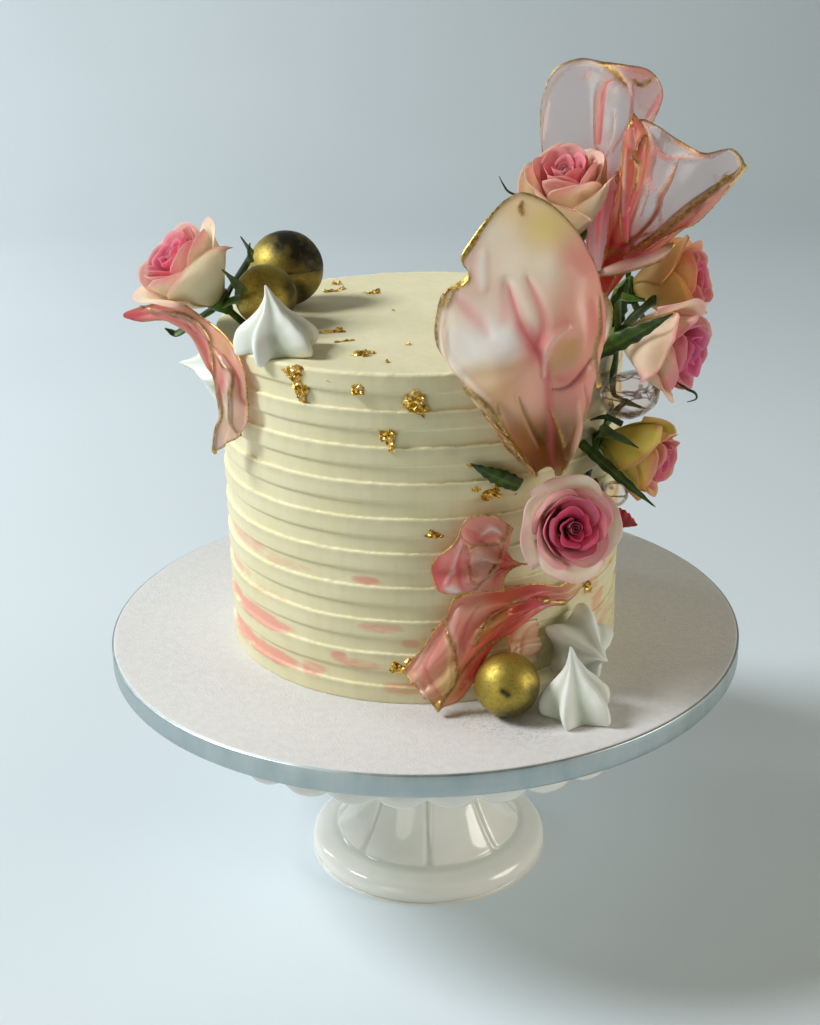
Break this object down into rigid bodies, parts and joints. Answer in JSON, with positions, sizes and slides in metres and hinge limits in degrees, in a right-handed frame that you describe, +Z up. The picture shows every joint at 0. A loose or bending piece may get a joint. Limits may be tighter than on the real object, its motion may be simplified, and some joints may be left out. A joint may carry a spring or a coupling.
{
  "type": "decorated celebration cake on a pedestal stand",
  "caption": "Round buttercream cake with combed bands on a board and porcelain stand, dressed with roses, gelatine sails, meringues, gold balls and gold leaf.",
  "frame": {"origin": "centre of the stand's foot, on the surface that it stands on", "axes": "+Z up along the middle of the stand and the cake; the decorated front faces -Y, and +X is to the right of it"},
  "size_m": [0.305, 0.305, 0.395],
  "materials": {
    "porcelain": "white glaze, smooth",
    "board": "white embossed paper, pale silver edge",
    "icing": "satin ivory buttercream with faint pink smears and gold leaf",
    "petal": "soft petals, cream at the foot and pink at the lip",
    "sepal": "dark green leaf",
    "sail": "clear, glossy, pink in its folds and gilded at its edge",
    "gold_dust": "dusted antique gold, worn in places",
    "bubble": "clear, glossy, with streaks of gold",
    "meringue": "matt white, piped"
  },
  "bodies": {
    "root": {"cake_stand": "porcelain", "cake_board": "board", "cake": "icing", "gold_ball_large": "gold_dust", "gold_ball_small": "gold_dust", "gold_ball_base": "gold_dust", "bubble_large": "bubble", "bubble_small": "bubble", "meringue_top": "meringue", "meringue_side": "meringue", "meringue_back": "meringue", "meringue_front": "meringue", "rose_left": "petal", "rose_left_calyx": "sepal", "rose_top": "petal", "rose_top_calyx": "sepal", "rose_upper": "petal", "rose_upper_calyx": "sepal", "rose_middle": "petal", "rose_middle_calyx": "sepal", "rose_lower": "petal", "rose_lower_calyx": "sepal", "rose_front": "petal", "rose_front_calyx": "sepal", "sail_front": "sail", "sail_top": "sail", "sail_right": "sail", "sail_middle": "sail", "sail_left": "sail", "sail_low": "sail", "sail_corner": "sail", "leaf_front": "sepal", "leaf_upper": "sepal", "leaf_middle": "sepal", "leaf_lower": "sepal", "petal_curl": "petal"}
  },
  "joints": []
}
